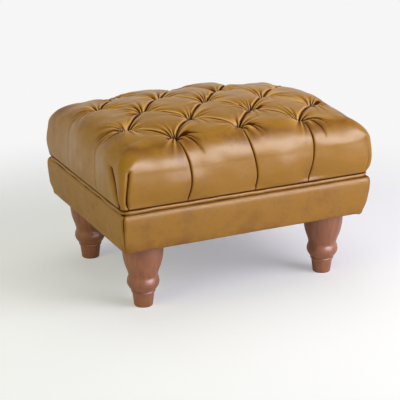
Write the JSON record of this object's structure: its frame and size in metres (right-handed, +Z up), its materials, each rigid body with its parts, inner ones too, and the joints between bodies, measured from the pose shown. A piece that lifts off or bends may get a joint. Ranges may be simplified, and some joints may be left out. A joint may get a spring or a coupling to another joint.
{
  "type": "footstool",
  "caption": "Deep-buttoned leather footstool with a tufted crowned pad, piping, a leather-covered border and turned wooden legs.",
  "frame": {"origin": "on the floor under the middle of the stool, at the bottom centre of its bounding box", "axes": "+X along the length to the right as seen from the front, +Y along the depth to the back, +Z up"},
  "size_m": [0.6, 0.4622, 0.4011],
  "materials": {
    "leather": "waxed tan pull-up leather, semi-gloss, lighter where it is stretched",
    "leg_wood": "reddish brown stained hardwood, satin lacquer",
    "frame_wood": "planed, unfinished",
    "board": "plywood, unfinished",
    "fibre": "soft white fibre wadding",
    "foam": null,
    "twine": "twisted twine and cord",
    "toggle": "matte",
    "steel": "zinc plated",
    "dust_cloth": "black woven dust cloth"
  },
  "bodies": {
    "root": {"seat_cover": "leather", "buttons": "leather", "piping_cover": "leather", "border_front": "leather", "border_back": "leather", "border_left": "leather", "border_right": "leather", "fibre_wrap": "fibre", "border_padding": "fibre", "foam_block": "foam", "piping_cord": "twine", "button_twines": "twine", "twine_toggles": "toggle", "seat_board": "board", "rail_front": "frame_wood", "rail_back": "frame_wood", "rail_left": "frame_wood", "rail_right": "frame_wood", "stretcher": "frame_wood", "corner_block_front_left": "frame_wood", "corner_block_front_right": "frame_wood", "corner_block_back_left": "frame_wood", "corner_block_back_right": "frame_wood", "cleat_front": "frame_wood", "cleat_back": "frame_wood", "cleat_left": "frame_wood", "cleat_right": "frame_wood", "rail_dowels": "frame_wood", "pad_screws": "steel", "block_screws": "steel", "hanger_bolts": "steel", "leg_nuts": "steel", "pad_staples": "steel", "rail_staples": "steel", "dust_staples": "steel", "dust_cover": "dust_cloth", "leg_front_left": "leg_wood", "leg_front_right": "leg_wood", "leg_back_left": "leg_wood", "leg_back_right": "leg_wood"}
  },
  "joints": []
}
